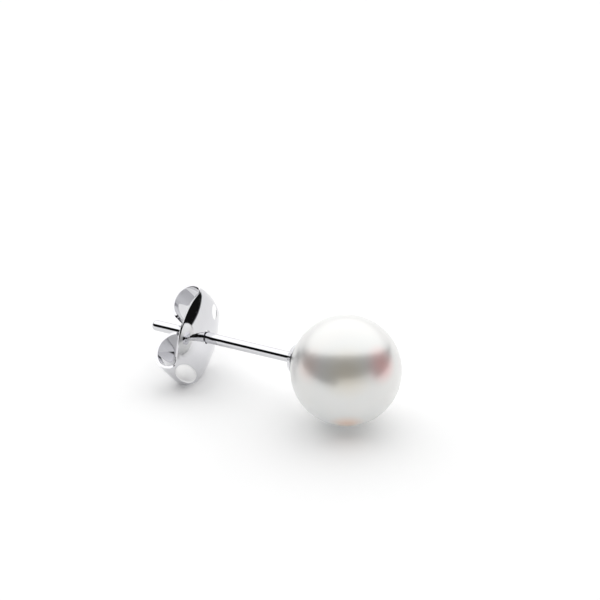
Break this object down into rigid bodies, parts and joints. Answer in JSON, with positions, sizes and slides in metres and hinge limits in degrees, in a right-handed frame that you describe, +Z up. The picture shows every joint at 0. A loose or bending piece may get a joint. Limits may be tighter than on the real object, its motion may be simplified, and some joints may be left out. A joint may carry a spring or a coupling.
{
  "type": "pearl stud earring with butterfly back",
  "caption": "Stud earring: a round white pearl on a cup and straight post, with a sliding butterfly back of curled sheet that grips the post.",
  "frame": {"origin": "centre of the bounding box on the surface that the earring lies on", "axes": "+X from the post's tip towards the pearl, +Z up; the post dips slightly towards its tip, because the pearl and the rim of the back both touch the surface"},
  "size_m": [0.0196, 0.008, 0.008],
  "materials": {
    "nacre": "satin pearl lustre",
    "white_gold": "mirror polished"
  },
  "bodies": {
    "stud": {"pearl": "nacre", "ear_post": "white_gold"},
    "back": {"butterfly_back": "white_gold"}
  },
  "joints": [
    {"name": "back_slide", "type": "slide", "parent": "stud", "child": "back", "axis": [-0.9996, 0, -0.0273], "range_m": [-0.0067, 0.0048]}
  ]
}
